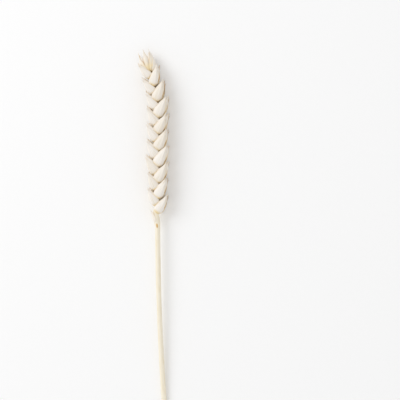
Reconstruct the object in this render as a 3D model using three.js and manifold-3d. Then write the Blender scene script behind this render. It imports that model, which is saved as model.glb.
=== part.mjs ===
// A bleached, awnless wheat ear on its own straw, cut off and lying on its side.
// Y runs up the ear, X across its two rows of spikelets, and Z up from the surface that it lies on.
// The origin is at the bottom centre of the whole.
import * as THREE from "three";
import { mergeVertices } from "three/addons/utils/BufferGeometryUtils.js";
import Module from "manifold-3d";

const { degToRad, lerp, smoothstep } = THREE.MathUtils;
const wasm = await Module();
wasm.setup();

// Driving dimensions, in millimetres and degrees. A share is a part of the floret's own size.
const strawLength = 103;
const strawDiameter = 2.75;
const strawWall = 0.4;
const strawDrift = 3;
const collarDiameter = 3.6;
const basalScaleLength = 6.5;
const basalScaleWidth = 2.4;
const basalScaleSweep = 1.5;
const basalScaleTurn = 50;
const earLength = 88;
const tipLean = 7.6;
const leanStart = 54;
const rachisThickness = 0.5;
const rachisWidth = 1.5;
const rachisZigzag = 0.1;
const spikeletCount = 19;
const middleInternode = 4.43;
const firstSpikelet = 0.6;
const tipSpikeletRise = 2.65;
const spikeletLean = 25;
const fanAngle = 13;
const floretLength = 11;
const floretWidth = 4.2;
const floretDepth = 3.7;
const belly = 0.32;
const middleFloretShare = 0.88;
const middleFloretRise = 1.5;
const glumeThickness = 0.5;
const glumeFootShare = 0.05;
const glumeTipShare = 0.93;
const glumeWrap = 82;
const glumeInnerWrap = 60;
const glumeTipWrap = 30;
const tipShrink = 0.1;
const tipSpikeletShrink = 0.12;
const gap = 0.3;

// Sizes that follow from them
const axisHeight = 4.9;
const collarHeight = 9;
const boreTop = -collarHeight * 1.5;
const basalScaleFoot = -5;
const rowOffset = rachisThickness / 2 + rachisZigzag + gap;
const fanOffset = floretDepth / 3;

// The middle line of straw and rachis. s is the height above the foot of the ear, negative in the straw,
// where both the sideways drift and the droop grow with its square, as in a thin beam that bends.
function axisPoint(s) {
  const lean = Math.max(0, (s - leanStart) / (earLength - leanStart)) ** 1.5;
  const droop = Math.max(0, -s / strawLength) ** 2;
  const height = lerp(axisHeight, strawDiameter / 2, droop);
  return new THREE.Vector3(strawDrift * droop - tipLean * lean, s, height);
}

// The frame on that line: X to the right row, Y up the ear, Z to the upper side
function axisFrame(s) {
  const along = axisPoint(s + 0.5).sub(axisPoint(s - 0.5)).normalize();
  const right = along.clone().cross(new THREE.Vector3(0, 0, 1)).normalize();
  const up = right.clone().cross(along);
  return new THREE.Matrix4().makeBasis(right, along, up).setPosition(axisPoint(s));
}

// Moves every vertex of a geometry to where place puts it, and shares the vertices that meet.
function reshape(geometry, place) {
  geometry.deleteAttribute("normal");
  geometry.deleteAttribute("uv");
  const position = geometry.getAttribute("position");
  const vertex = new THREE.Vector3();
  for (let i = 0; i < position.count; i += 1) {
    vertex.fromBufferAttribute(position, i);
    position.setXYZ(i, ...place(vertex).toArray());
  }
  return mergeVertices(geometry, 1e-4);
}

function joined(geometries) {
  const solids = geometries.map((geometry) => new wasm.Manifold(new wasm.Mesh({
    numProp: 3,
    vertProperties: geometry.getAttribute("position").array,
    triVerts: new Uint32Array(geometry.index.array),
  })));
  const { vertProperties, triVerts } = solids.reduce((sum, solid) => sum.add(solid)).getMesh();
  const result = new THREE.BufferGeometry();
  result.setAttribute("position", new THREE.BufferAttribute(vertProperties, 3));
  result.setIndex(new THREE.BufferAttribute(triVerts, 1));
  return result;
}

function piece(name, geometry, color, roughness) {
  const material = new THREE.MeshStandardMaterial({ color, roughness, metalness: 0, flatShading: true });
  const mesh = new THREE.Mesh(geometry, material);
  mesh.name = name;
  return mesh;
}

// Where the spikelets sit: the steps are a little shorter at the foot and at the tip of the ear.
const spikeletHeights = [firstSpikelet];
while (spikeletHeights.length < spikeletCount) {
  const part = spikeletHeights.length / spikeletCount;
  const step = middleInternode * (0.9 + 0.1 * Math.sin(Math.PI * part));
  spikeletHeights.push(spikeletHeights.at(-1) + step);
}
spikeletHeights[spikeletCount - 1] += tipSpikeletRise;

// 1 for the right row and -1 for the left one
function rowSide(index) {
  return index % 2 ? -1 : 1;
}

// Stem: the hollow straw, the collar that it flares to, and the flat rachis that zigzags from row to row
function stemRadius(s) {
  const rachis = lerp(rachisWidth, rachisWidth * 0.6, Math.max(0, s) / earLength) / 2;
  const flared = lerp(strawDiameter, collarDiameter, smoothstep(s, -collarHeight, -3)) / 2;
  return lerp(flared, rachis, smoothstep(s, -2, firstSpikelet));
}

// The rachis swings to each spikelet's own side where that spikelet sits.
function swing(s) {
  const next = spikeletHeights.findIndex((height) => height >= s - 1e-5);
  if (next < 1) return 0;
  const part = (s - spikeletHeights[next - 1]) / (spikeletHeights[next] - spikeletHeights[next - 1]);
  return rachisZigzag * rowSide(next) * (2 * part - 1);
}

function stem() {
  const rachisRings = spikeletHeights.slice(0, -1).flatMap((s, i) => [s, (s + spikeletHeights[i + 1]) / 2]);
  const collarRings = [-0.7, -2, -3.5, -6, -collarHeight];
  const strawRings = Array.from({ length: 8 }, (_, i) => lerp(-20, -strawLength, i / 7));
  const outside = [...rachisRings.reverse(), ...collarRings, ...strawRings];
  const profile = [
    new THREE.Vector2(0, spikeletHeights.at(-1) - 2 * gap),
    ...outside.map((s) => new THREE.Vector2(stemRadius(s), s)),
    ...strawRings.toReversed().map((s) => new THREE.Vector2(strawDiameter / 2 - strawWall, s)),
    new THREE.Vector2(0, boreTop),
  ];
  const geometry = reshape(new THREE.LatheGeometry(profile.reverse(), 8), (vertex) => {
    const s = vertex.y;
    const flat = lerp(1, rachisThickness / rachisWidth, smoothstep(s, -2, firstSpikelet));
    return new THREE.Vector3(vertex.x * flat + swing(s), 0, vertex.z).applyMatrix4(axisFrame(s));
  });
  return piece("stem", geometry, 0xefe3c0, 0.5);
}

// Basal scale: the small pointed scale on the upper left of the collar, which bends outwards to its tip
// and sweeps to the left
function basalScale() {
  const foot = collarDiameter / 2 + gap;
  const geometry = reshape(new THREE.BoxGeometry(1, 1, 1, 3, 3, 1), (vertex) => {
    const up = vertex.y + 0.5;
    const width = lerp(basalScaleWidth, 0.3, up ** 1.5);
    const out = foot + (vertex.z > 0 ? glumeThickness : 0) + 1.3 * up ** 2;
    return new THREE.Vector3(-out, basalScaleLength * up, width * vertex.x - basalScaleSweep * up ** 2);
  });
  geometry.rotateY(degToRad(basalScaleTurn));
  return piece("basal_scale", geometry.applyMatrix4(axisFrame(basalScaleFoot)), 0xf3ece2, 0.55);
}

// Half width of a floret, from 0 at the blunt foot over 1 at the belly to 0 at the pointed tip
function podProfile(part) {
  return (part / belly) ** 0.5 * ((1 - part) / (1 - belly)) ** (0.5 / belly - 0.5);
}

// A closed floret that stands along Y
function floret(size) {
  return reshape(new THREE.SphereGeometry(1, 7, 6), (vertex) => {
    const part = Math.acos(-vertex.y) / Math.PI;
    const angle = Math.atan2(vertex.z, vertex.x);
    const radius = podProfile(part) * size;
    return new THREE.Vector3(
      (floretWidth / 2) * radius * Math.cos(angle),
      floretLength * part * size,
      (floretDepth / 2) * radius * Math.sin(angle),
    );
  });
}

// A glume: a thin shell that hugs the back of a floret, on the Z side, and ends in a narrow beak. It reaches
// less far round on the side of the rachis, where the scale above it sits. outer is 1 where X points away
// from the rachis and -1 where it points to it.
function glume(size, outer) {
  return reshape(new THREE.BoxGeometry(1, 1, 1, 4, 5, 1), (vertex) => {
    const up = vertex.y + 0.5;
    const part = lerp(glumeFootShare, glumeTipShare, up);
    const footWrap = vertex.x * outer < 0 ? glumeInnerWrap : glumeWrap;
    const wrap = degToRad(lerp(footWrap, glumeTipWrap, up ** 3));
    const angle = Math.PI / 2 - 2 * vertex.x * wrap;
    const rise = gap + (vertex.z > 0 ? glumeThickness : 0);
    return new THREE.Vector3(
      ((floretWidth / 2) * podProfile(part) + rise) * size * Math.cos(angle),
      floretLength * part * size,
      ((floretDepth / 2) * podProfile(part) + rise) * size * Math.sin(angle),
    );
  });
}

// The place of an outer floret and its glume in the spikelet: 1 is the Z side and -1 the other side.
function fanPlace(side, size) {
  const place = new THREE.Matrix4().makeRotationX(degToRad(fanAngle));
  place.setPosition(0, 0, fanOffset * size);
  return side > 0 ? place : new THREE.Matrix4().makeRotationY(Math.PI).multiply(place);
}

// The place of a spikelet on the rachis: half a turn about the ear's own line brings it to the left row.
function rowPlace(side) {
  const place = new THREE.Matrix4().makeRotationZ(degToRad(-spikeletLean));
  place.setPosition(rowOffset, 0, 0);
  return side > 0 ? place : new THREE.Matrix4().makeRotationY(Math.PI).multiply(place);
}

// Spikelet: two glumes around three florets, the outer two spread like a fan and the third between them.
// The one at the tip stands straight up, with its fan turned across the two rows.
function spikelet(index) {
  const atTip = index === spikeletCount - 1;
  const name = `spikelet_${String(index + 1).padStart(2, "0")}`;
  const shrink = tipShrink * smoothstep(index, spikeletCount * 0.55, spikeletCount - 1);
  const size = 1 - shrink - (atTip ? tipSpikeletShrink : 0);
  const side = rowSide(index);
  const florets = joined([
    floret(size * middleFloretShare).translate(0, middleFloretRise * size, 0),
    floret(size).applyMatrix4(fanPlace(1, size)),
    floret(size).applyMatrix4(fanPlace(-1, size)),
  ]);
  const group = new THREE.Group();
  group.add(
    piece(`${name}_florets`, florets, 0xeadfc8, 0.6),
    piece(`${name}_upper_glume`, glume(size, side).applyMatrix4(fanPlace(side, size)), 0xf3ece2, 0.55),
    piece(`${name}_lower_glume`, glume(size, -side).applyMatrix4(fanPlace(-side, size)), 0xf3ece2, 0.55),
  );
  const onRachis = atTip ? new THREE.Matrix4().makeRotationY(Math.PI / 2) : rowPlace(side);
  const place = axisFrame(spikeletHeights[index]).multiply(onRachis);
  place.decompose(group.position, group.quaternion, group.scale);
  return group;
}

const wheatEar = new THREE.Group();
wheatEar.add(stem(), basalScale());
for (let index = 0; index < spikeletCount; index += 1) {
  wheatEar.add(spikelet(index));
}

// The bottom centre of the whole goes to the origin.
wheatEar.updateMatrixWorld(true);
const box = new THREE.Box3().setFromObject(wheatEar, true);
const middle = box.getCenter(new THREE.Vector3());
for (const child of wheatEar.children) {
  child.position.sub(new THREE.Vector3(middle.x, middle.y, box.min.z));
}

export default wheatEar;
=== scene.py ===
"""A bleached, awnless wheat ear on its own cut straw, lying on its side.

Lengths are in metres and angles in radians, in the part's frame: Y runs up the ear, X to the right row of
spikelets and Z up from the floor. Each piece is a surface that numpy works out where its CAD node is.
"""
import math
from dataclasses import dataclass

import bpy
import numpy as np
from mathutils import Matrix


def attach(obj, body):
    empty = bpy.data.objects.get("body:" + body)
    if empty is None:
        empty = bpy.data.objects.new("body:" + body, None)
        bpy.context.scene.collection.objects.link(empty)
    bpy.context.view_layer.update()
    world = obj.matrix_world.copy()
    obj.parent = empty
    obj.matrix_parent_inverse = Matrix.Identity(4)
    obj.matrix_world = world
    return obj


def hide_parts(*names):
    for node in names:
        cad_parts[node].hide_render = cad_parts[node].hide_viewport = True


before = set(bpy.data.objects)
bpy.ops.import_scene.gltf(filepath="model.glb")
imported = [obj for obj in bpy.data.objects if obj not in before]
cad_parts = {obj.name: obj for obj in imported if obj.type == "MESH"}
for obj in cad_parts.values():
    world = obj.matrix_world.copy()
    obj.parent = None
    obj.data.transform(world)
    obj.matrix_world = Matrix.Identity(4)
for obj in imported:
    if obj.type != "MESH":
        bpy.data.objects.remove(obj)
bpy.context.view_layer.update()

bl_info = {
    "name": "Wheat ear",
    "version": (1, 0, 0),
    "blender": (4, 5, 0),
    "location": "3D View > Sidebar > Wheat ear",
    "description": "Makes a dried, bleached wheat ear on its straw, spikelet by spikelet",
    "category": "Add Mesh",
}

MM = 0.001


# Sizes and colours that a user would change

def srgb(code):
    """An sRGB hex colour as linear red, green, blue and alpha.

    The sRGB curve is a straight line up to 0.04045 and a power of 2.4 above it.
    """
    shares = [int(code[i:i + 2], 16) / 255 for i in (1, 3, 5)]
    return (*(c / 12.92 if c <= 0.04045 else ((c + 0.055) / 1.055) ** 2.4 for c in shares), 1.0)


def length(name, millimetres, description):
    return bpy.props.FloatProperty(
        name=name, description=description, default=millimetres * MM,
        subtype="DISTANCE", unit="LENGTH", precision=5
    )


def angle(name, degrees, description):
    return bpy.props.FloatProperty(
        name=name, description=description, default=math.radians(degrees), subtype="ANGLE", unit="ROTATION"
    )


def share(name, default, description):
    return bpy.props.FloatProperty(name=name, description=description, default=default, subtype="FACTOR")


def colour(name, code, description):
    return bpy.props.FloatVectorProperty(
        name=name, description=description, default=srgb(code), size=4, subtype="COLOR", min=0, max=1
    )


class StemSizes(bpy.types.PropertyGroup):
    """The straw, the collar and the rachis"""
    foot: bpy.props.FloatVectorProperty(
        name="Foot of the ear", description="Where the ear starts on the straw's middle line",
        default=(2.693 * MM, 6.962 * MM, 4.902 * MM), subtype="TRANSLATION", unit="LENGTH", precision=5
    )
    straw_length: length("Straw length", 103, "From the foot of the ear down to the cut end")
    straw_diameter: length("Straw diameter", 2.75, "Outside diameter of the hollow straw")
    straw_wall: length("Straw wall", 0.4, "Thickness of the straw's wall")
    straw_drift: length("Straw drift", 3, "How far the cut end lies to the right of the ear's foot")
    collar_diameter: length("Collar diameter", 3.6, "The swelling under the lowest spikelet")
    collar_height: length("Collar height", 9, "How far below the ear the straw starts to swell")
    ear_length: length("Ear length", 88, "From the foot of the ear to its tip")
    tip_lean: length("Lean of the tip", 7.6, "How far the tip of the ear bends to the left")
    lean_start: length("Start of the lean", 54, "Height in the ear at which it starts to bend")
    rachis_width: length("Rachis width", 1.5, "Width of the zigzag axis inside the ear")
    rachis_thickness: length("Rachis thickness", 0.5, "Thickness of that axis between the two rows")
    rachis_zigzag: length("Rachis zigzag", 0.1, "How far it swings to each spikelet's side")
    collar_swing: length("Collar swing", 1.0, "How far the collar bends to the left under the ear")
    rib_height: length("Rib height", 0.022, "Height of the fine ribs that run down the straw")
    rib_count: bpy.props.IntProperty(name="Ribs", description="Fine ribs round the straw", default=22, min=3)


class SpikeletSizes(bpy.types.PropertyGroup):
    """The spikelets and what they are made of"""
    count: bpy.props.IntProperty(name="Spikelets", description="Spikelets in both rows", default=19, min=2)
    internode: length("Internode", 4.43, "Step from one spikelet to the next in the middle of the ear")
    first: length("First spikelet", 0.6, "Height of the lowest spikelet")
    tip_rise: length("Last step", 2.65, "How much longer than the others the rachis's last step is")
    lean: angle("Lean", 25, "How far a spikelet leans out from the ear's line")
    fan: angle("Fan", 13, "How far the outer florets spread to the two broad sides of the ear")
    floret_length: length("Floret length", 11, "Length of an outer floret")
    floret_width: length("Floret width", 4.2, "Width of an outer floret, across the ear")
    floret_depth: length("Floret depth", 3.7, "Thickness of an outer floret")
    belly: share("Belly", 0.32, "Where along the floret it is widest")
    middle_share: share("Middle floret", 0.88, "Size of the middle floret against an outer one")
    middle_rise: length("Rise of the middle floret", 1.5, "How much higher the middle floret sits")
    nerve_spacing: length("Nerve spacing", 0.42, "Distance between the nerves of a husk, at its widest")
    gap: length("Gap", 0.3, "Clearance between a floret and the glume on it")
    spread: length("Spread", 0.28, "How much wider the husks are than the plain florets, on each side")
    glume_thickness: length("Glume thickness", 0.5, "Room that a glume takes outside that gap")
    right_excess: share("Excess of the right row", 0.045, "How much larger it is than the middle size")
    right_inset: length("Inset of the right row", 0.45, "How much nearer its feet are to the rachis")
    tip_shrink: share("Shrink", 0.1, "How much smaller the spikelets are towards the tip of the ear")
    last_shrink: share("Shrink of the last one", 0.12, "What it loses before it is enlarged to fill the tip")


class EarColours(bpy.types.PropertyGroup):
    """Colours of the dried and bleached plant"""
    husk: colour("Husk", "#f7f2ec", "The bleached face of a glume")
    husk_shadow: colour("Husk streak", "#e6d8be", "The faint streaks along a husk")
    # Partly the husk's own yellow and partly painted shade at feet and margins where the scales overlap
    husk_foot: colour("Husk foot", "#ecd18e", "The yellowish foot and margins of a husk")
    # Painted shade: amber on the insides of husks and where other scales cover them; also the specks' colour
    husk_shade_and_specks: colour("Husk inside", "#d9ab62", "The amber inside of a husk, and what others cover")
    straw: colour("Straw", "#f6eedb", "The bleached straw")
    straw_streak: colour("Straw streak", "#e6d3a4", "The yellowish streaks down the straw")
    # Also painted shade on the rachis inside the ear
    straw_inside_and_shade: colour("Straw inside", "#d9b272", "The pith inside the hollow straw")
    floor: colour("Floor", "#fbfbfb", "The plain pale floor")


# The ear's own line and the places on it

def mix(a, b, part):
    """From a, where the part is 0, in a straight line to b, where it is 1."""
    return a + (b - a) * part


def ease(value, low, high):
    """0 below low, 1 above high, and in between the smooth step 3t^2 - 2t^3."""
    part = np.clip((value - low) / (high - low), 0, 1)
    return part * part * (3 - 2 * part)


def axis_point(stem, s):
    """The middle line at heights s above the ear's foot, negative in the straw.

    In the ear it bends to the left with the power 1.5 of the height above the start of the lean. In the
    straw it drifts to the right and droops to the floor with the square of the distance from the foot.
    """
    lean_power = 1.5
    lean = np.clip((s - stem.lean_start) / (stem.ear_length - stem.lean_start), 0, None) ** lean_power
    droop = np.clip(-s / stem.straw_length, 0, None) ** 2
    x = stem.straw_drift * droop - stem.tip_lean * lean
    z = (stem.straw_diameter / 2 - stem.foot[2]) * droop
    return np.stack([x, s, z], axis=-1) + np.array(stem.foot)


def axis_frame(stem, s):
    """Frames on that line as 4 x 4 matrices: X to the right row, Y up the ear, Z to the upper side."""
    s = np.asarray(s, float)
    step = 0.5 * MM
    along = axis_point(stem, s + step) - axis_point(stem, s - step)
    along /= np.linalg.norm(along, axis=-1, keepdims=True)
    right = np.cross(along, [0, 0, 1])
    right /= np.linalg.norm(right, axis=-1, keepdims=True)
    matrix = np.zeros((*s.shape, 4, 4))
    matrix[..., :3, 0] = right
    matrix[..., :3, 1] = along
    matrix[..., :3, 2] = np.cross(right, along)
    matrix[..., :3, 3] = axis_point(stem, s)
    matrix[..., 3, 3] = 1
    return matrix


def turned(axis, turn, shift=(0, 0, 0)):
    """A turn about the X, Y or Z axis and then a shift, as a 4 x 4 matrix."""
    first, second = {"X": (1, 2), "Y": (2, 0), "Z": (0, 1)}[axis]
    matrix = np.eye(4)
    matrix[first, first] = math.cos(turn)
    matrix[second, second] = math.cos(turn)
    matrix[second, first] = math.sin(turn)
    matrix[first, second] = -math.sin(turn)
    matrix[:3, 3] = shift
    return matrix


def shaken(dice, degrees):
    """A small random turn about each axis, because no two scales sit quite alike."""
    turns = np.radians(dice.uniform(-degrees, degrees, 3))
    return turned("X", turns[0]) @ turned("Y", turns[1]) @ turned("Z", turns[2])


def placed(points, matrix):
    """The points, or each ring of them, turned and shifted by the matrix, or by each ring's own."""
    return points @ np.swapaxes(matrix[..., :3, :3], -1, -2) + matrix[..., None, :3, 3]


# Closed tubes, which every piece is made of

@dataclass
class Tube:
    """A closed tube: a grid of points, rings by points round each ring, with what its material reads there.

    The measures are, for each point, the distance across the grain, the distance along it, both in metres,
    and how far inside it is, from 0 on the open face to 1 in the depths; the materials paint that amber as
    painted shade, and on the straw also as its pith and a scar.
    """
    points: np.ndarray
    measures: np.ndarray
    tone: float = 0.5


def tube_faces(rings, around):
    """The faces of a closed tube: a band of four-sided faces between rings, and a ladder across each end."""
    number = np.arange(rings * around).reshape(rings, around)
    after = np.roll(number, -1, axis=1)
    bands = np.stack([number[:-1], after[:-1], after[1:], number[1:]], axis=-1).reshape(-1, 4)
    left = np.arange(around // 2 - 1)
    ladder = np.stack([left, left + 1, around - 2 - left, around - 1 - left], axis=-1)
    return np.concatenate([bands, ladder[:, ::-1], number[-1, 0] + ladder])


def signed_volume(points, faces):
    """Volume within the faces, which is negative where they point inwards."""
    a, b, c, d = (points[faces[:, i]] for i in range(4))
    return np.einsum("ij,ij->", a, np.cross(b, c) + np.cross(c, d)) / 6


def above_floor(height):
    """What lies on the floor gives way: below 0.3 mm the height falls off as an exponential, down to 0."""
    reach = 0.3 * MM
    return np.where(height < reach, reach * np.exp(np.minimum(height / reach - 1, 0)), height)


def make_piece(name, tubes, material, material_slot, *nodes):
    """One mesh of closed tubes in the part's frame, which rides on the part and stands for its CAD nodes."""
    points = []
    faces = []
    start = 0
    for tube in tubes:
        rings, around = tube.points.shape[:2]
        corners = tube_faces(rings, around)
        flat = tube.points.reshape(-1, 3)
        if signed_volume(flat - flat.mean(axis=0), corners) < 0:
            corners = corners[:, ::-1]
        points.append(flat)
        faces.append(corners + start)
        start += len(flat)
    points = np.concatenate(points)
    points[:, 2] = above_floor(points[:, 2])
    faces = np.concatenate(faces)
    if not np.isfinite(points).all():
        raise RuntimeError(f"{name} has points that are no numbers")
    mesh = bpy.data.meshes.new(name)
    mesh.vertices.add(len(points))
    mesh.vertices.foreach_set("co", points.ravel())
    mesh.loops.add(faces.size)
    mesh.loops.foreach_set("vertex_index", faces.ravel())
    mesh.polygons.add(len(faces))
    mesh.polygons.foreach_set("loop_start", np.arange(0, faces.size, 4))
    mesh.update(calc_edges=True)
    grain = mesh.attributes.new("grain", "FLOAT_VECTOR", "POINT")
    grain.data.foreach_set("vector", np.concatenate([t.measures.reshape(-1, 3) for t in tubes]).ravel())
    tone = mesh.attributes.new("tone", "FLOAT", "POINT")
    tone.data.foreach_set("value", np.concatenate([np.full(t.points[..., 0].size, t.tone) for t in tubes]))
    mesh.shade_smooth()
    sharp_degrees = 60
    mesh.set_sharp_from_angle(angle=math.radians(sharp_degrees))
    if mesh.validate():
        raise RuntimeError(f"{name} has faces that Blender had to repair")
    mesh.materials.append(material)
    piece = bpy.data.objects.new(name, mesh)
    bpy.context.scene.collection.objects.link(piece)
    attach(piece, "root")
    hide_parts(*nodes)
    return piece


# The straw, its collar and the rachis

RACHIS_START = 7 * MM      # the height from which the stem is all rachis
BORE_TOP = 1.5             # the bore closes at this many collar heights below the ear
SCAR_BELOW = 6.9 * MM      # how far below the ear a scar and the knob under it sit
UPPER_SIDE = math.pi / 2   # the turn round the straw at which its upper side is


def collar_scar(s, turn):
    """How dark the scar on the upper side of the collar is: 1 in its middle, with the fourth power of the
    distance from there in the exponential, so that it has a plain middle and a short soft edge."""
    half_height = 1.2 * MM
    half_turn = 0.36
    return np.exp(-(((s + SCAR_BELOW) / half_height) ** 4) - ((turn - UPPER_SIDE) / half_turn) ** 4)


def rachis_radius(stem, heights, s):
    """Half the width of the rachis: it narrows to the tip, and widens with the square of the way up to the
    ledge under each spikelet, like a saw tooth."""
    tip_share = 0.6
    above_ledge = 0.82
    ledge_rise = 0.3
    on_a_ledge = 1e-8
    shortest_step = 1e-6
    plain = mix(stem.rachis_width, stem.rachis_width * tip_share, np.clip(s, 0, None) / stem.ear_length) / 2
    place = np.searchsorted(heights, s - on_a_ledge)
    low = heights[np.clip(place - 1, 0, None)]
    high = heights[np.clip(place, None, len(heights) - 1)]
    tooth = np.clip((s - low) / np.maximum(high - low, shortest_step), 0, 1)
    return plain * (above_ledge + ledge_rise * tooth ** 2)


def stem_radius(stem, heights, s, turn):
    """Straw, flare and rachis as the CAD has them, with what shows from close by added to them.

    The ribs are cosines round the straw. Its waist is two slow sines along it. The ring and the knob on the
    collar are bell curves, and the lumps there are a sine that winds round it. The top closes in.
    """
    flare_end = -3 * MM
    flared = mix(stem.straw_diameter, stem.collar_diameter, ease(s, -stem.collar_height, flare_end)) / 2
    collar_top = -1 * MM
    radius = mix(flared, rachis_radius(stem, heights, s), ease(s, collar_top, RACHIS_START))
    ribs_fade = 2 * MM
    ribs_full = 14 * MM
    ribs = stem.rib_height * np.cos(stem.rib_count * turn) * ease(-s, ribs_fade, ribs_full)
    short_wave = 7 * MM
    short_share = 0.012
    long_wave = 17 * MM
    long_share = 0.01
    waist = 1 + short_share * np.sin(s / short_wave) + long_share * np.sin(s / long_wave + 1)
    ring_height = 0.14 * MM
    ring_below = 2.6 * MM
    ring_width = 0.7 * MM
    ring = ring_height * np.exp(-(((s + ring_below) / ring_width) ** 2))
    knob_height = 0.3 * MM
    knob_length = 0.8 * MM
    knob_turn = 0.4
    along_knob = ((s + SCAR_BELOW) / knob_length) ** 2
    round_knob = ((turn - UPPER_SIDE) / knob_turn) ** 2
    knob = knob_height * np.exp(-along_knob - round_knob)
    lump_height = 0.07 * MM
    lump_pitch = 1.1 * MM
    lumps_round = 3
    lumps_start = -9 * MM
    lumps_full = -4 * MM
    lumps_fade = -1 * MM
    lumps_end = 2 * MM
    lumps = lump_height * np.sin(lumps_round * turn + s / lump_pitch)
    lumps = lumps * ease(s, lumps_start, lumps_full) * ease(-s, -lumps_end, -lumps_fade)
    closed_share = 0.85
    closing_start = 1.6 * MM
    closing_end = 0.55 * MM
    closing = closed_share * ease(s, heights[-1] - closing_start, heights[-1] - closing_end)
    return (radius * waist + ribs + ring + knob + lumps) * (1 - closing)


def bore_radius(stem, s):
    """The straw's inside, which closes on the middle line under the collar with the root of the distance."""
    closing_length = 6.5 * MM
    narrowest = 0.004
    part = (-s - stem.collar_height * BORE_TOP) / closing_length
    return (stem.straw_diameter / 2 - stem.straw_wall) * np.sqrt(np.clip(part, narrowest, 1))


def stem_swing(stem, heights, s):
    """The rachis swings to each spikelet's own side, in a straight line from one to the next. The collar
    bends to the left, from 8 mm below the ear on, and back to the middle line inside the ear."""
    bend_start = -8 * MM
    bend_full = -1 * MM
    back_start = 3 * MM
    back_end = 8 * MM
    zigzag = stem.rachis_zigzag * np.interp(s, heights, row_side(np.arange(len(heights))))
    zigzag = zigzag * ease(s, 0, heights[0])
    bent = stem.collar_swing * ease(s, bend_start, bend_full) * ease(-s, -back_end, -back_start)
    return zigzag - bent


def stem_tube(stem, heights):
    """The stem as one closed tube: from the top of the rachis down the outside to the cut, and up the bore.

    A ring round its middle line is an oval with the outside's or the bore's radius, and the rachis is as
    flat as its thickness against its width. The cut end is ragged, as the sum of three sines round it.
    """
    around = 66
    collar_rings = 46
    straw_rings = 90
    bore_rings = 40
    rachis_step = 0.4 * MM
    top = heights[-1] - 0.6 * MM
    collar_foot = -13 * MM
    straw_top = -13.8 * MM
    rachis = np.arange(top, 0, -rachis_step)
    collar = np.linspace(0, collar_foot, collar_rings)
    straw = np.linspace(straw_top, -stem.straw_length, straw_rings)
    bore = np.linspace(-stem.straw_length, -stem.collar_height * BORE_TOP, bore_rings)
    s = np.concatenate([rachis, collar, straw, bore])[:, None]
    in_bore = np.concatenate([np.zeros(len(s) - len(bore)), np.ones(len(bore))])[:, None]
    turn = np.linspace(0, 2 * np.pi, around, endpoint=False) + np.pi / around
    radius = np.where(in_bore > 0, bore_radius(stem, s), stem_radius(stem, heights, s, turn))
    flat = mix(1, stem.rachis_thickness / stem.rachis_width, ease(s, 0, RACHIS_START))
    x = radius * np.cos(turn) * flat + stem_swing(stem, heights, s)
    z = radius * np.sin(turn)
    slant = 0.22 * MM
    slant_turn = 0.6
    tooth_height = 0.1 * MM
    teeth = 5
    splinter_height = 0.06 * MM
    splinters = 13
    cut_reach = 0.5 * MM
    ragged = slant * np.sin(turn + slant_turn) + tooth_height * np.sin(teeth * turn)
    ragged = ragged + splinter_height * np.sin(splinters * turn + 1)
    y = ragged * ease(-s, stem.straw_length - cut_reach, stem.straw_length)
    points = placed(np.stack([x, y, z], axis=-1), axis_frame(stem, s[:, 0]))
    across = turn * stem.straw_diameter / 2 + 0 * s
    along = s + 0 * turn
    # The rachis inside the ear is painted half amber: painted shade among the spikelets. The bore and the
    # scar are amber too.
    shade_start = 4 * MM
    shade_full = 8 * MM
    rachis_shade = 0.5
    ear_rachis_shade = rachis_shade * ease(s, shade_start, shade_full)
    hidden = np.clip(in_bore + ear_rachis_shade + collar_scar(s, turn), 0, 1) + 0 * turn
    return Tube(points, np.stack([across, along, hidden], axis=-1))


def basal_scale_tube(stem):
    """The basal scale in the collar's frame, as a closed shell that stands to the left of the straw.

    It is a strip that bends outwards with the square of the height and sweeps down with the power 1.6. Its
    width narrows to the tip with the power 1.5, and a square root rounds its foot. Its section is hollow
    towards the straw, as the square of the place across it, with a ridge as a bell curve. The inside is the
    same strip, nearer by the wall.
    """
    height = 6.8 * MM
    foot_width = 3.0 * MM
    tip_width = 0.12 * MM
    clearance = 0.3 * MM
    bend = 1.3 * MM
    sweep = 1.6 * MM
    narrowing_power = 1.5
    sweep_power = 1.6
    foot_end = 0.3
    narrowest = 0.02
    hollow_depth = 0.45 * MM
    ridge_height = 0.08 * MM
    ridge_width = 0.2
    thickness = 0.26 * MM
    thinning = 0.6
    grain_start = 3 * MM
    grain_width = 2 * MM
    inner_shade = 0.6
    tone = 0.6
    columns = 17
    rings = 26
    u = np.linspace(-1, 1, columns)
    v = np.linspace(0, 1, rings)[:, None]
    rounded = np.sqrt(np.clip(v / foot_end, narrowest, 1))
    width = mix(foot_width, tip_width, v ** narrowing_power) / 2 * rounded
    out = stem.collar_diameter / 2 + clearance + bend * v ** 2
    hollow = hollow_depth * u ** 2 * (1 - v)
    ridge = ridge_height * np.exp(-((u / ridge_width) ** 2)) * ease(v, 0, foot_end)
    wall = thickness * (1 - thinning * u ** 2) * (1 - thinning * v)
    y = height * v + 0 * u
    z = width * u - sweep * v ** sweep_power
    outside = np.stack([-(out - hollow + ridge), y, z], axis=-1)
    inside = np.stack([-(out - hollow - wall), y, z], axis=-1)
    points = np.concatenate([outside, inside[:, ::-1]], axis=1)
    across = u * grain_width + 0 * v
    along = y + grain_start
    shown = np.stack([across, along, 0 * y], axis=-1)
    # The inside face gets painted shade in amber
    hidden = np.stack([across, along, 0 * y + inner_shade], axis=-1)
    return Tube(points, np.concatenate([shown, hidden[:, ::-1]], axis=1), tone)


# The spikelets

SPIKELET_SEED = 900        # with the spikelet's index: its size and turn
FLORET_SEED = 500          # with its number: the tips, turns and tones of its florets
GLUME_SEED_STEP = 10       # times its number, and one more for the upper glume


@dataclass
class Spikelet:
    """One spikelet: its number counts from 1, and its side is 1 for the right row and -1 for the left."""
    number: int
    side: int
    size: float
    place: np.ndarray
    fan: float
    last: bool


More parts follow.
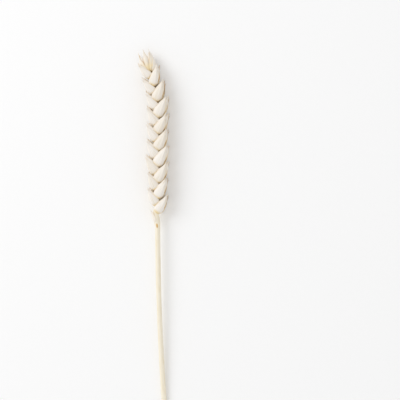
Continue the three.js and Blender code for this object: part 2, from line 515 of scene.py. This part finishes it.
@dataclass
class Husk:
    """A boat-shaped scale that hugs a floret. Shares are parts of the floret's length."""
    rise: float                # outside face above the floret, at the belly
    wall: float                # thickness at its middle
    spread: float = 0          # how much wider it stands than the floret, on each side
    hug: float = 0.4           # what is left of the rise at the margins, which lie close to the floret
    sag: float = 0             # how far its rounded foot reaches below the floret's
    inset: float = 0           # how far it sits towards the rachis
    foot: float = 0.004        # share at which it starts
    tip: float = 0.985         # share at which it ends
    wrap: float = 88           # degrees that each margin reaches round the floret, from its back
    tip_wrap: float = 6        # the same at the tip
    inner_power: float = 1.7   # how soon the margin on the rachis side closes in: a low power is a shoulder
    outer_power: float = 3.2   # the same on the outer side
    keel: float = 0.2 * MM     # height of the ridge that runs up to the beak
    keel_place: float = 0.34   # where that ridge is, from the middle at 0 to the outer margin at 1
    keel_width: float = 0.12   # half its width, in the same measure
    hook: float = 1.1 * MM     # how far the beak bends to the outer side
    lift: float = 0.2 * MM     # how far the beak bends away from the floret
    awn: float = 0             # length of the short bristle that the tip runs out to
    nerve: float = 0.024 * MM  # height of the nerves
    ripple: float = 0.06 * MM  # height of the uneven ripple along the margins
    stray: float = 0.2 * MM    # how far the beak strays to either side by chance
    columns: int = 29
    rings: int = 36


def row_side(index):
    """1 for the right row and -1 for the left one, where the spikelets alternate from the foot up."""
    return np.where(np.asarray(index) % 2, -1, 1)


def spikelet_heights(sizes):
    """Heights of the spikelets: the steps are a tenth shorter at the foot and the tip, by half a sine."""
    shortest = 0.9
    longer = 0.1
    part = np.arange(1, sizes.count) / sizes.count
    steps = sizes.internode * (shortest + longer * np.sin(np.pi * part))
    heights = sizes.first + np.concatenate([[0], np.cumsum(steps)])
    heights[-1] += sizes.tip_rise
    return heights


def row_place(stem, sizes, side):
    """A spikelet's place on the rachis: leaned out, and half a turn about the ear's line for the left row.

    The right row sits nearer to the rachis and leans out a little more.
    """
    more_lean = math.radians(1.5)
    inset = sizes.right_inset if side > 0 else 0
    lean = sizes.lean + (more_lean if side > 0 else 0)
    offset = stem.rachis_thickness / 2 + stem.rachis_zigzag + sizes.gap - inset
    place = turned("Z", -lean, (offset, 0, 0))
    return place if side > 0 else turned("Y", math.pi) @ place


def fan_place(sizes, side, spikelet):
    """An outer floret's place in its spikelet: 1 is the Z side and -1, half a turn on, the other side."""
    place = turned("X", spikelet.fan, (0, 0, sizes.floret_depth / 3 * spikelet.size))
    return place if side > 0 else turned("Y", math.pi) @ place


def spikelets(context):
    """All spikelets from the foot up, with their own sizes and places.

    They get smaller from the middle of the ear to its tip, and the lowest three are smaller too. The last
    one closes the tip: it is turned a quarter turn, enlarged, lower between its neighbours and less open.
    """
    shrink_start = 0.55
    smallest_draw = 0.96
    largest_draw = 1.04
    lowest_size = 0.9
    full_size_index = 3
    last_size = 1.34
    last_drop = 4.3 * MM
    last_fan = 0.45
    shake = 2.5
    stem = context.scene.wheat_stem
    sizes = context.scene.wheat_spikelets
    for index, height in enumerate(spikelet_heights(sizes)):
        last = index == sizes.count - 1
        side = int(row_side(index))
        shrink = sizes.tip_shrink * float(ease(index, sizes.count * shrink_start, sizes.count - 1))
        size = 1 - shrink - (sizes.last_shrink if last else 0)
        dice = np.random.default_rng(SPIKELET_SEED + index)
        size *= dice.uniform(smallest_draw, largest_draw)
        if last:
            size *= last_size
            on_rachis = turned("Y", math.pi / 2, (0, -last_drop, 0))
        else:
            foot_share = mix(lowest_size, 1, float(ease(index, 0, full_size_index)))
            size *= (1 + sizes.right_excess * side) * foot_share
            on_rachis = row_place(stem, sizes, side)
        place = axis_frame(stem, height) @ on_rachis @ shaken(dice, shake)
        fan = sizes.fan * (last_fan if last else 1)
        yield Spikelet(number=index + 1, side=side, size=size, place=place, fan=fan, last=last)


def pod_profile(part, belly):
    """Half width of a floret along it, 0 at the blunt foot, 1 at the belly and 0 at the pointed tip.

    It is the square root of the way to the belly times a power of the way left to the tip, with the power
    that puts the greatest width at the belly.
    """
    part = np.clip(part, 0, 1)
    return (part / belly) ** 0.5 * ((1 - part) / (1 - belly)) ** (0.5 / belly - 0.5)


def husk_relief(sizes, form, outer, u, v, cup, wave):
    """How far a husk's outside stands off the floret's oval.

    The rise falls off to the margins with the fourth power of u and to the tip with that of v. Nerves are
    squares of raised cosines of u, the keel is a bell curve of u, and the ripple is a sine along v that
    grows with the square of u.
    """
    fall = 0.45
    ridges_start = 0.05
    nerves_full = 0.4
    keel_full = 0.7
    beak_start = 0.85
    beak_loss = 0.7
    ripples = 1.5
    rise = form.rise * cup * mix(1, form.hug, u ** 4) * (1 - fall * v ** 4)
    waves = 0.5 + 0.5 * np.cos(2 * np.pi * u * sizes.floret_width / 2 / sizes.nerve_spacing)
    nerves = form.nerve * waves ** 2 * ease(v, ridges_start, nerves_full) * (1 - u ** 4)
    keel = form.keel * np.exp(-(((u * outer - form.keel_place) / form.keel_width) ** 2))
    keel = keel * ease(v, ridges_start, keel_full) * (1 - beak_loss * ease(v, beak_start, 1))
    ripple = form.ripple * u ** 2 * np.sin(2 * np.pi * (v * (ripples + wave[0]) + wave[1]) + wave[2] * u)
    return rise + nerves + keel + ripple


def wall_share(u, v):
    """How thick a husk is against its middle: it thins to the margins with the fourth power of u, and to the
    foot and the tip with smooth steps of v."""
    margin_loss = 0.55
    at_foot = 0.6
    foot_end = 0.2
    tip_start = 0.8
    tip_loss = 0.6
    share_left = (1 - margin_loss * u ** 4) * mix(at_foot, 1, ease(v, 0, foot_end))
    return share_left * (1 - tip_loss * ease(v, tip_start, 1))


def husk(sizes, form, size, outer, back, dice):
    """A husk as a closed shell round a floret that stands along Y with its back turned from Z by back.

    A point is given by u from -1 to 1 between the margins, closer set in the middle, and by v from 0 to 1
    from foot to tip. It lies on the floret's oval, widened by the relief, at the angle u times the wrap from
    the back. The wrap closes in towards the tip with a power of v, and the beak bends with the cube of v.
    The awn is a smooth step at the end of v. The inside face is the same surface, lower by the wall.
    """
    crowding = 0.25
    ring_power = 1.35
    cup_end = 0.2
    awn_start = 0.86
    open_start = 0.4
    open_end = 0.9
    open_share = 0.5
    u = np.linspace(-1, 1, form.columns)
    u = (1 - crowding) * u + crowding * u ** 3
    v = np.linspace(0, 1, form.rings)[:, None]
    part = mix(form.foot, form.tip, v ** ring_power)
    profile = pod_profile(part, sizes.belly)
    cup = np.sqrt(np.clip(part / cup_end, 0, 1))
    power = np.where(u * outer > 0, form.outer_power, form.inner_power)
    wrap = np.radians(mix(form.wrap, form.tip_wrap, v ** power))
    turn = u * wrap + back
    wave = dice.uniform(-1, 1, 4)
    outside = husk_relief(sizes, form, outer, u, v, cup, wave)
    inside = outside - form.wall * wall_share(u, v)
    bend = v ** 3
    across = outer * (form.hook * bend - form.inset) + wave[3] * form.stray * bend
    half_width = sizes.floret_width / 2 + form.spread
    half_depth = sizes.floret_depth / 2
    awn = form.awn * ease(v, awn_start, 1)
    faces = []
    for height in (outside, inside):
        x = (half_width * profile + height) * np.sin(turn) + across * math.cos(back)
        y = mix(-form.sag, sizes.floret_length, part) + awn + 0 * u
        z = (half_depth * profile + height) * np.cos(turn) + form.lift * bend
        faces.append(np.stack([x, y, z], axis=-1) * size)
    points = np.concatenate([faces[0], faces[1][:, ::-1]], axis=1)
    grain_across = u * sizes.floret_width / 2 + 0 * v
    grain_along = sizes.floret_length * part + 0 * u
    # Painted shade: the inside face is painted amber, by half less towards the tip
    covered_shade = 1 - open_share * ease(v, open_start, open_end) + 0 * u
    shown = np.stack([grain_across, grain_along, 0 * grain_along], axis=-1)
    hidden = np.stack([grain_across, grain_along, covered_shade], axis=-1)
    return points, np.concatenate([shown, hidden[:, ::-1]], axis=1)


def floret_body(sizes, size):
    """The closed body of a floret under its lemma: the floret's oval, drawn in by a twelfth, with a crease
    down its front as a bell curve of the angle."""
    rings = 20
    around = 22
    foot = 0.012
    tip = 0.975
    body_share = 11 / 12
    crease_depth = 0.12
    crease_turn = 0.5
    grain_width = 0.5 * MM
    foot_shade = 0.85
    open_start = 0.35
    open_end = 0.8
    open_share = 0.7
    v = np.linspace(foot, tip, rings)[:, None]
    turn = np.linspace(0, 2 * np.pi, around, endpoint=False) + np.pi / around
    radius = pod_profile(v, sizes.belly) * body_share
    crease = 1 - crease_depth * np.exp(-(((turn - np.pi) / crease_turn) ** 2))
    x = (sizes.floret_width / 2 + sizes.spread) * radius * np.sin(turn) * crease
    z = sizes.floret_depth / 2 * radius * np.cos(turn) * crease
    y = sizes.floret_length * v + 0 * turn
    points = np.stack([x, y, z], axis=-1) * size
    across = np.abs(turn - np.pi) * grain_width + 0 * v
    # Painted shade: the body is painted amber where the lemma covers it, less towards the tip
    covered_shade = foot_shade - open_share * ease(v, open_start, open_end) + 0 * turn
    return points, np.stack([across, y, covered_shade], axis=-1)


# Materials

FACTOR = 0           # sockets of a Mix node in its colour form, where names repeat
COLOUR_A = 6
COLOUR_B = 7
MIXED_COLOUR = 2


def add_node(tree, kind, inputs=None, **settings):
    """A node with its settings; an input is a value, or (node, output) for a link."""
    node = tree.nodes.new(kind)
    for key, value in settings.items():
        setattr(node, key, value)
    for key, value in (inputs or {}).items():
        if isinstance(value, tuple) and isinstance(value[0], bpy.types.Node):
            tree.links.new(value[0].outputs[value[1]], node.inputs[key])
        else:
            node.inputs[key].default_value = value
    return node


def new_material(name):
    material = bpy.data.materials.new(name)
    material.use_nodes = True
    material.node_tree.nodes.clear()
    return material, material.node_tree


def finish_material(tree, base, height, roughness, ior, bump):
    """The shader that ends a material: its base colour and bump are linked, the rest is set on it."""
    relief = add_node(tree, "ShaderNodeBump", {"Strength": 1.0, "Distance": bump, "Height": height})
    shader = add_node(tree, "ShaderNodeBsdfPrincipled", {
        "Base Color": base, "Roughness": roughness, "IOR": ior, "Metallic": 0.0,
        "Normal": (relief, "Normal"),
    })
    add_node(tree, "ShaderNodeOutputMaterial", {"Surface": (shader, "BSDF")})


def dried_husk(name, colours, half_width, nerve_spacing, foot_reach, roughness):
    """Dried and bleached husk: papery and satin, cream on its face, with yellow at foot and margins.

    The nerves of a real husk are 0.4 to 0.6 mm apart, and the streaks between them run its whole length.
    The yellow at the foot and margins is partly the husk's own colour and partly painted shade where the
    scales overlap. The amber is painted shade: the inside and the parts that other scales cover. Its fibres
    are drawn 0.13 mm wide, several times a real fibre, so that they show from close by.
    """
    streak_width = 0.45 * MM
    streak_length = 7 * MM
    fibre_width = 0.13 * MM
    fibre_length = 1.6 * MM
    patch_size = 3.5 * MM
    speck_size = 0.45 * MM
    foot_full = 0.6 * MM
    margin_start = half_width * 0.74
    margin_full = half_width * 1.02
    own_pattern_step = 37.0
    nerve_wander = 1.2
    fibre_relief = 0.5
    material, tree = new_material(name)
    grain = add_node(tree, "ShaderNodeAttribute", attribute_name="grain")
    tone = add_node(tree, "ShaderNodeAttribute", attribute_name="tone")
    own_place = add_node(tree, "ShaderNodeTexCoord")
    parts = add_node(tree, "ShaderNodeSeparateXYZ", {"Vector": (grain, "Vector")})
    streak_place = add_node(tree, "ShaderNodeMapping", {
        "Vector": (grain, "Vector"), "Scale": (1 / streak_width, 1 / streak_length, 0.0),
    })
    own_pattern = add_node(tree, "ShaderNodeMath", {
        0: (tone, "Fac"), 1: own_pattern_step,
    }, operation="MULTIPLY")
    streaks = add_node(tree, "ShaderNodeTexNoise", {
        "Vector": (streak_place, "Vector"), "W": (own_pattern, "Value"),
        "Scale": 1.0, "Detail": 3.0, "Roughness": 0.6,
    }, noise_dimensions="4D")
    fibre_place = add_node(tree, "ShaderNodeMapping", {
        "Vector": (grain, "Vector"), "Scale": (1 / fibre_width, 1 / fibre_length, 0.0),
    })
    fibres = add_node(tree, "ShaderNodeTexNoise", {
        "Vector": (fibre_place, "Vector"), "Scale": 1.0, "Detail": 2.0,
    })
    patches = add_node(tree, "ShaderNodeTexNoise", {
        "Vector": (own_place, "Object"), "Scale": 1 / patch_size, "Detail": 2.0,
    })
    specks = add_node(tree, "ShaderNodeTexNoise", {
        "Vector": (own_place, "Object"), "Scale": 1 / speck_size, "Detail": 1.0,
    })

    # Faint streaks, and a darker line between each two nerves, which wanders with the streaks
    streak_share = add_node(tree, "ShaderNodeMapRange", {
        "Value": (streaks, "Fac"), "From Min": 0.48, "From Max": 0.8, "To Max": 0.8,
    }, interpolation_type="SMOOTHSTEP")
    wander = add_node(tree, "ShaderNodeMath", {0: (streaks, "Fac"), 1: nerve_wander}, operation="MULTIPLY")
    phase = add_node(tree, "ShaderNodeMath", {
        0: (parts, "X"), 1: 2 * math.pi / nerve_spacing, 2: (wander, "Value"),
    }, operation="MULTIPLY_ADD")
    waves = add_node(tree, "ShaderNodeMath", {0: (phase, "Value")}, operation="COSINE")
    nerve_share = add_node(tree, "ShaderNodeMapRange", {
        "Value": (waves, "Value"), "From Min": 0.0, "From Max": -1.0, "To Max": 0.3,
    }, interpolation_type="SMOOTHSTEP")

    # Yellow at the foot and along the margins, partly the husk's own colour and partly painted shade, broken
    # up by patches
    foot = add_node(tree, "ShaderNodeMapRange", {
        "Value": (parts, "Y"), "From Min": foot_reach, "From Max": foot_full,
    }, interpolation_type="SMOOTHSTEP")
    across = add_node(tree, "ShaderNodeMath", {0: (parts, "X")}, operation="ABSOLUTE")
    margin = add_node(tree, "ShaderNodeMapRange", {
        "Value": (across, "Value"), "From Min": margin_start, "From Max": margin_full, "To Max": 0.85,
    }, interpolation_type="SMOOTHSTEP")
    either = add_node(tree, "ShaderNodeMath", {
        0: (foot, "Result"), 1: (margin, "Result"),
    }, operation="MAXIMUM")
    patchy = add_node(tree, "ShaderNodeMapRange", {
        "Value": (patches, "Fac"), "From Min": 0.3, "From Max": 0.75, "To Min": 0.45, "To Max": 1.0,
    }, interpolation_type="SMOOTHSTEP")
    yellow = add_node(tree, "ShaderNodeMath", {
        0: (either, "Value"), 1: (patchy, "Result"),
    }, operation="MULTIPLY")

    # Painted shade in amber in the depths, each scale's own warmth, and a few amber specks
    depth = add_node(tree, "ShaderNodeMapRange", {"Value": (parts, "Z")}, interpolation_type="SMOOTHSTEP")
    warmth = add_node(tree, "ShaderNodeMapRange", {
        "Value": (tone, "Fac"), "To Max": 0.28,
    }, interpolation_type="SMOOTHSTEP")
    speck_share = add_node(tree, "ShaderNodeMapRange", {
        "Value": (specks, "Fac"), "From Min": 0.74, "From Max": 0.82, "To Max": 0.4,
    }, interpolation_type="SMOOTHSTEP")

    face = tuple(colours.husk)
    for amount, layer in (
        ((streak_share, "Result"), colours.husk_shadow),
        ((nerve_share, "Result"), colours.husk_shadow),
        ((yellow, "Value"), colours.husk_foot),
        ((depth, "Result"), colours.husk_shade_and_specks),
        ((warmth, "Result"), colours.husk_shadow),
        ((speck_share, "Result"), colours.husk_shade_and_specks),
    ):
        blend = add_node(tree, "ShaderNodeMix", {
            FACTOR: amount, COLOUR_A: face, COLOUR_B: tuple(layer),
        }, data_type="RGBA")
        face = (blend, MIXED_COLOUR)
    relief = add_node(tree, "ShaderNodeMath", {
        0: (fibres, "Fac"), 1: fibre_relief, 2: (streaks, "Fac"),
    }, operation="MULTIPLY_ADD")
    finish_material(tree, face, (relief, "Value"), roughness, ior=1.48, bump=0.1 * MM)
    return material


def bleached_straw(name, colours):
    """Dried and bleached straw: a hard, waxy skin with fine ribs, cream with yellowish streaks down it.

    The vascular strands under the skin are about 0.3 mm apart, and a streak is 10 to 20 mm long.
    """
    strand_width = 0.3 * MM
    strand_length = 14 * MM
    patch_width = 2.5 * MM
    patch_length = 11 * MM
    patch_shift = (3.0, 7.0, 0.0)
    material, tree = new_material(name)
    grain = add_node(tree, "ShaderNodeAttribute", attribute_name="grain")
    parts = add_node(tree, "ShaderNodeSeparateXYZ", {"Vector": (grain, "Vector")})
    strand_place = add_node(tree, "ShaderNodeMapping", {
        "Vector": (grain, "Vector"), "Scale": (1 / strand_width, 1 / strand_length, 0.0),
    })
    strands = add_node(tree, "ShaderNodeTexNoise", {
        "Vector": (strand_place, "Vector"), "Scale": 1.0, "Detail": 3.0, "Roughness": 0.55,
    })
    patch_place = add_node(tree, "ShaderNodeMapping", {
        "Vector": (grain, "Vector"), "Scale": (1 / patch_width, 1 / patch_length, 0.0),
        "Location": patch_shift,
    })
    patches = add_node(tree, "ShaderNodeTexNoise", {
        "Vector": (patch_place, "Vector"), "Scale": 1.0, "Detail": 2.0,
    })
    strand_share = add_node(tree, "ShaderNodeMapRange", {
        "Value": (strands, "Fac"), "From Min": 0.45, "From Max": 0.75, "To Max": 0.6,
    }, interpolation_type="SMOOTHSTEP")
    patch_share = add_node(tree, "ShaderNodeMapRange", {
        "Value": (patches, "Fac"), "From Min": 0.5, "From Max": 0.8, "To Max": 0.55,
    }, interpolation_type="SMOOTHSTEP")
    yellow = add_node(tree, "ShaderNodeMath", {
        0: (strand_share, "Result"), 1: (patch_share, "Result"),
    }, operation="MAXIMUM")
    # Amber from the third measure: the pith in the bore, the scar, and painted shade on the rachis in the
    # ear
    inside = add_node(tree, "ShaderNodeMapRange", {"Value": (parts, "Z")}, interpolation_type="SMOOTHSTEP")
    streaked = add_node(tree, "ShaderNodeMix", {
        FACTOR: (yellow, "Value"), COLOUR_A: tuple(colours.straw), COLOUR_B: tuple(colours.straw_streak),
    }, data_type="RGBA")
    skin = add_node(tree, "ShaderNodeMix", {
        FACTOR: (inside, "Result"), COLOUR_A: (streaked, MIXED_COLOUR),
        COLOUR_B: tuple(colours.straw_inside_and_shade),
    }, data_type="RGBA")
    finish_material(tree, (skin, MIXED_COLOUR), (strands, "Fac"), roughness=0.38, ior=1.5, bump=0.05 * MM)
    return material


def matt_paper(name, colour_value):
    """Matt white background paper, as a photo studio rolls out: a faint tooth and no gloss.

    The tooth is drawn 1.2 mm wide, several times a real paper's, so that it shows at all.
    """
    tooth_size = 1.2 * MM
    tooth_shade = (0.8, 0.8, 0.8, 1.0)
    material, tree = new_material(name)
    place = add_node(tree, "ShaderNodeTexCoord")
    tooth = add_node(tree, "ShaderNodeTexNoise", {
        "Vector": (place, "Object"), "Scale": 1 / tooth_size, "Detail": 2.0,
    })
    tint = add_node(tree, "ShaderNodeMapRange", {
        "Value": (tooth, "Fac"), "From Min": 0.3, "From Max": 0.7, "To Max": 0.02,
    }, interpolation_type="SMOOTHSTEP")
    shade = add_node(tree, "ShaderNodeMix", {
        FACTOR: (tint, "Result"), COLOUR_A: tuple(colour_value), COLOUR_B: tooth_shade,
    }, data_type="RGBA")
    finish_material(tree, (shade, MIXED_COLOUR), (tooth, "Fac"), roughness=0.9, ior=1.45, bump=0.02 * MM)
    return material


# Operators

class WHEAT_OT_stem(bpy.types.Operator):
    """Makes the hollow straw, the collar it swells to and the flat zigzag rachis, grown as one"""
    bl_idname = "wheat.stem"
    bl_label = "Straw and rachis"

    def execute(self, context):
        heights = spikelet_heights(context.scene.wheat_spikelets)
        tube = stem_tube(context.scene.wheat_stem, heights)
        material = bleached_straw("bleached_straw", context.scene.wheat_colours)
        make_piece("straw_and_rachis", [tube], material, "straw", "stem")
        return {"FINISHED"}


class WHEAT_OT_basal_scale(bpy.types.Operator):
    """Makes the small pointed scale on the left of the collar"""
    bl_idname = "wheat.basal_scale"
    bl_label = "Basal scale"

    def execute(self, context):
        """The scale stands 5 mm below the ear, turned to the upper side and moved with the bent collar."""
        foot_height = -5 * MM
        turn = math.radians(58)
        shift = (-0.45 * MM, 0, 0)
        stem = context.scene.wheat_stem
        tube = basal_scale_tube(stem)
        matrix = axis_frame(stem, foot_height) @ turned("Y", turn, shift)
        tube.points = placed(tube.points, matrix)
        make_piece("collar_scale", [tube], context.scene.wheat_glume_material, "glume", "basal_scale")
        return {"FINISHED"}


class WHEAT_OT_glumes(bpy.types.Operator):
    """Makes the two glumes of each spikelet, on its upper and its lower side"""
    bl_idname = "wheat.glumes"
    bl_label = "Glumes"

    def execute(self, context):
        shake = 1.5
        sizes = context.scene.wheat_spikelets
        material = context.scene.wheat_glume_material
        form = Husk(
            rise=sizes.gap + sizes.glume_thickness, wall=0.26 * MM, spread=sizes.spread + 0.1 * MM,
            sag=1.1 * MM, inset=0.35 * MM
        )
        for spikelet in spikelets(context):
            number = spikelet.number
            for label, side in (("upper", spikelet.side), ("lower", -spikelet.side)):
                dice = np.random.default_rng(number * GLUME_SEED_STEP + (label == "upper"))
                points, measures = husk(sizes, form, spikelet.size, side, 0.0, dice)
                matrix = spikelet.place @ fan_place(sizes, side, spikelet) @ shaken(dice, shake)
                tube = Tube(placed(points, matrix), measures, dice.uniform())
                node = f"spikelet_{number:02}_{label}_glume"
                make_piece(f"{label}_glume_{number:02}", [tube], material, "glume", node)
        return {"FINISHED"}


class WHEAT_OT_florets(bpy.types.Operator):
    """Makes the three closed florets of each spikelet, each a body under a pointed lemma"""
    bl_idname = "wheat.florets"
    bl_label = "Florets"

    def execute(self, context):
        shake = 1.5
        sizes = context.scene.wheat_spikelets
        # The lemma's yellow foot reaches 8 mm up, over what the glumes cover: partly painted shade there
        material = dried_husk(
            "bleached_lemma", context.scene.wheat_colours, sizes.floret_width / 2, sizes.nerve_spacing,
            foot_reach=8 * MM, roughness=0.6
        )
        for spikelet in spikelets(context):
            number = spikelet.number
            dice = np.random.default_rng(FLORET_SEED + number)
            lemma = self.lemma(sizes, number, dice)
            middle_size, middle_place, middle_back = self.middle(sizes, spikelet, dice)
            tubes = []
            for local, size, outer, back in (
                (middle_place, middle_size, 1, middle_back),
                (fan_place(sizes, 1, spikelet), spikelet.size, 1, 0.0),
                (fan_place(sizes, -1, spikelet), spikelet.size, -1, 0.0),
            ):
                matrix = spikelet.place @ local @ shaken(dice, shake)
                tone = dice.uniform()
                own_lemma = husk(sizes, lemma, size, outer, back, dice)
                for points, measures in (own_lemma, floret_body(sizes, size)):
                    tubes.append(Tube(placed(points, matrix), measures, tone))
            make_piece(f"florets_{number:02}", tubes, material, "floret", f"spikelet_{number:02}_florets")
        return {"FINISHED"}

    @staticmethod
    def lemma(sizes, number, dice):
        """A lemma's form. Its bristle, first in millimetres, is short, and longer towards the ear's tip."""
        short_awn = 0.5
        long_awn = 1.3
        awn_spread = 0.8
        longer_from = 12
        awn = mix(short_awn, long_awn, float(ease(number, longer_from, sizes.count)))
        awn = (awn + dice.uniform(0, awn_spread)) * MM
        return Husk(
            rise=0.24 * MM, wall=0.2 * MM, spread=sizes.spread, hug=0.7, sag=0.3 * MM, inset=0.2 * MM,
            wrap=112, tip_wrap=14, inner_power=4, outer_power=4, keel=0.12 * MM, keel_place=0.0,
            hook=0.3 * MM, lift=0.1 * MM, awn=awn, columns=23, rings=28
        )

    @staticmethod
    def middle(sizes, spikelet, dice):
        """The middle floret's size, place and the turn of its back. In the last spikelet it is larger, sits
        lower and turns its back to the upper side, because it closes the tip of the ear."""
        lowest_draw = -0.2
        highest_draw = 0.8
        share_of_outer = sizes.middle_share
        rise = sizes.middle_rise
        back_degrees = 55
        if spikelet.last:
            share_of_outer = 1.06
            rise = 0.2 * MM
            back_degrees = -90
        rise = rise + dice.uniform(lowest_draw, highest_draw) * MM
        place = turned("X", 0, (0, rise * spikelet.size, 0))
        return spikelet.size * share_of_outer, place, math.radians(back_degrees)


class WHEAT_OT_stage(bpy.types.Operator):
    """Makes the floor, the soft light and the camera"""
    bl_idname = "wheat.stage"
    bl_label = "Stage"

    def execute(self, context):
        scene = context.scene
        self.floor(scene)
        self.lights(scene)
        self.camera(scene)
        scene.view_settings.view_transform = "Standard"
        return {"FINISHED"}

    @staticmethod
    def floor(scene):
        """A flat square of background paper, 5 m wide."""
        half = 2.5
        corners = [(-half, -half, 0), (half, -half, 0), (half, half, 0), (-half, half, 0)]
        mesh = bpy.data.meshes.new("paper_floor")
        mesh.from_pydata(corners, [], [(0, 1, 2, 3)])
        mesh.materials.append(matt_paper("matt_white_paper", scene.wheat_colours.floor))
        floor = bpy.data.objects.new("paper_floor", mesh)
        scene.collection.objects.link(floor)

    @staticmethod
    def lights(scene):
        """A large soft lamp from the upper left, aimed at the part, and an even white surround."""
        lamp = bpy.data.lights.new("soft_lamp", "AREA")
        lamp.shape = "SQUARE"
        lamp.size = 0.9
        lamp.energy = 6.6
        lamp_object = bpy.data.objects.new("soft_lamp", lamp)
        lamp_object.location = (-0.95, 0.5, 0.95)
        direction = -lamp_object.location.normalized()
        lamp_object.rotation_euler = direction.to_track_quat("-Z", "Y").to_euler()
        scene.collection.objects.link(lamp_object)
        world = bpy.data.worlds.new("white_surround")
        world.use_nodes = True
        background = world.node_tree.nodes["Background"]
        background.inputs["Color"].default_value = (1.0, 1.0, 1.0, 1.0)
        background.inputs["Strength"].default_value = 0.8
        scene.world = world

    @staticmethod
    def camera(scene):
        """It looks down on the ear from a little to the right, and its frame is the photograph's."""
        frame_width = 216 * MM
        tilt = math.radians(9)
        aim = np.array([25.96, 14.0, 5.0]) * MM
        camera = bpy.data.cameras.new("camera")
        camera.lens = 135
        camera.sensor_width = 36
        camera.clip_start = 0.05
        camera.clip_end = 20
        distance = frame_width * camera.lens / camera.sensor_width
        camera_object = bpy.data.objects.new("camera", camera)
        camera_object.location = aim + distance * np.array([math.sin(tilt), 0, math.cos(tilt)])
        camera_object.rotation_euler = (0, tilt, 0)
        scene.collection.objects.link(camera_object)
        scene.camera = camera_object


class WHEAT_PT_panel(bpy.types.Panel):
    """Lists the steps in order, with their sizes and colours"""
    bl_label = "Wheat ear"
    bl_idname = "WHEAT_PT_panel"
    bl_space_type = "VIEW_3D"
    bl_region_type = "UI"
    bl_category = "Wheat ear"

    def draw(self, context):
        for operator in OPERATORS:
            self.layout.operator(operator.bl_idname)
        for name in GROUPS:
            group = getattr(context.scene, name)
            box = self.layout.box()
            for size in group.__annotations__:
                box.prop(group, size)


GROUPS = {"wheat_stem": StemSizes, "wheat_spikelets": SpikeletSizes, "wheat_colours": EarColours}
OPERATORS = (WHEAT_OT_stem, WHEAT_OT_basal_scale, WHEAT_OT_glumes, WHEAT_OT_florets, WHEAT_OT_stage)


def register():
    for cls in (*GROUPS.values(), *OPERATORS, WHEAT_PT_panel):
        bpy.utils.register_class(cls)
    for name, group in GROUPS.items():
        setattr(bpy.types.Scene, name, bpy.props.PointerProperty(type=group))
    bpy.types.Scene.wheat_glume_material = bpy.props.PointerProperty(type=bpy.types.Material)


def unregister():
    for name in ("wheat_glume_material", *GROUPS):
        delattr(bpy.types.Scene, name)
    for cls in (WHEAT_PT_panel, *reversed(OPERATORS), *reversed(GROUPS.values())):
        bpy.utils.unregister_class(cls)


def main():
    register()
    scene = bpy.context.scene
    spikelet = scene.wheat_spikelets
    scene.wheat_glume_material = dried_husk(
        "bleached_glume", scene.wheat_colours, spikelet.floret_width / 2, spikelet.nerve_spacing,
        foot_reach=2.8 * MM, roughness=0.46
    )
    bpy.ops.wheat.stem()
    bpy.ops.wheat.basal_scale()
    bpy.ops.wheat.glumes()
    bpy.ops.wheat.florets()
    bpy.ops.wheat.stage()


if __name__ == "__main__":
    main()
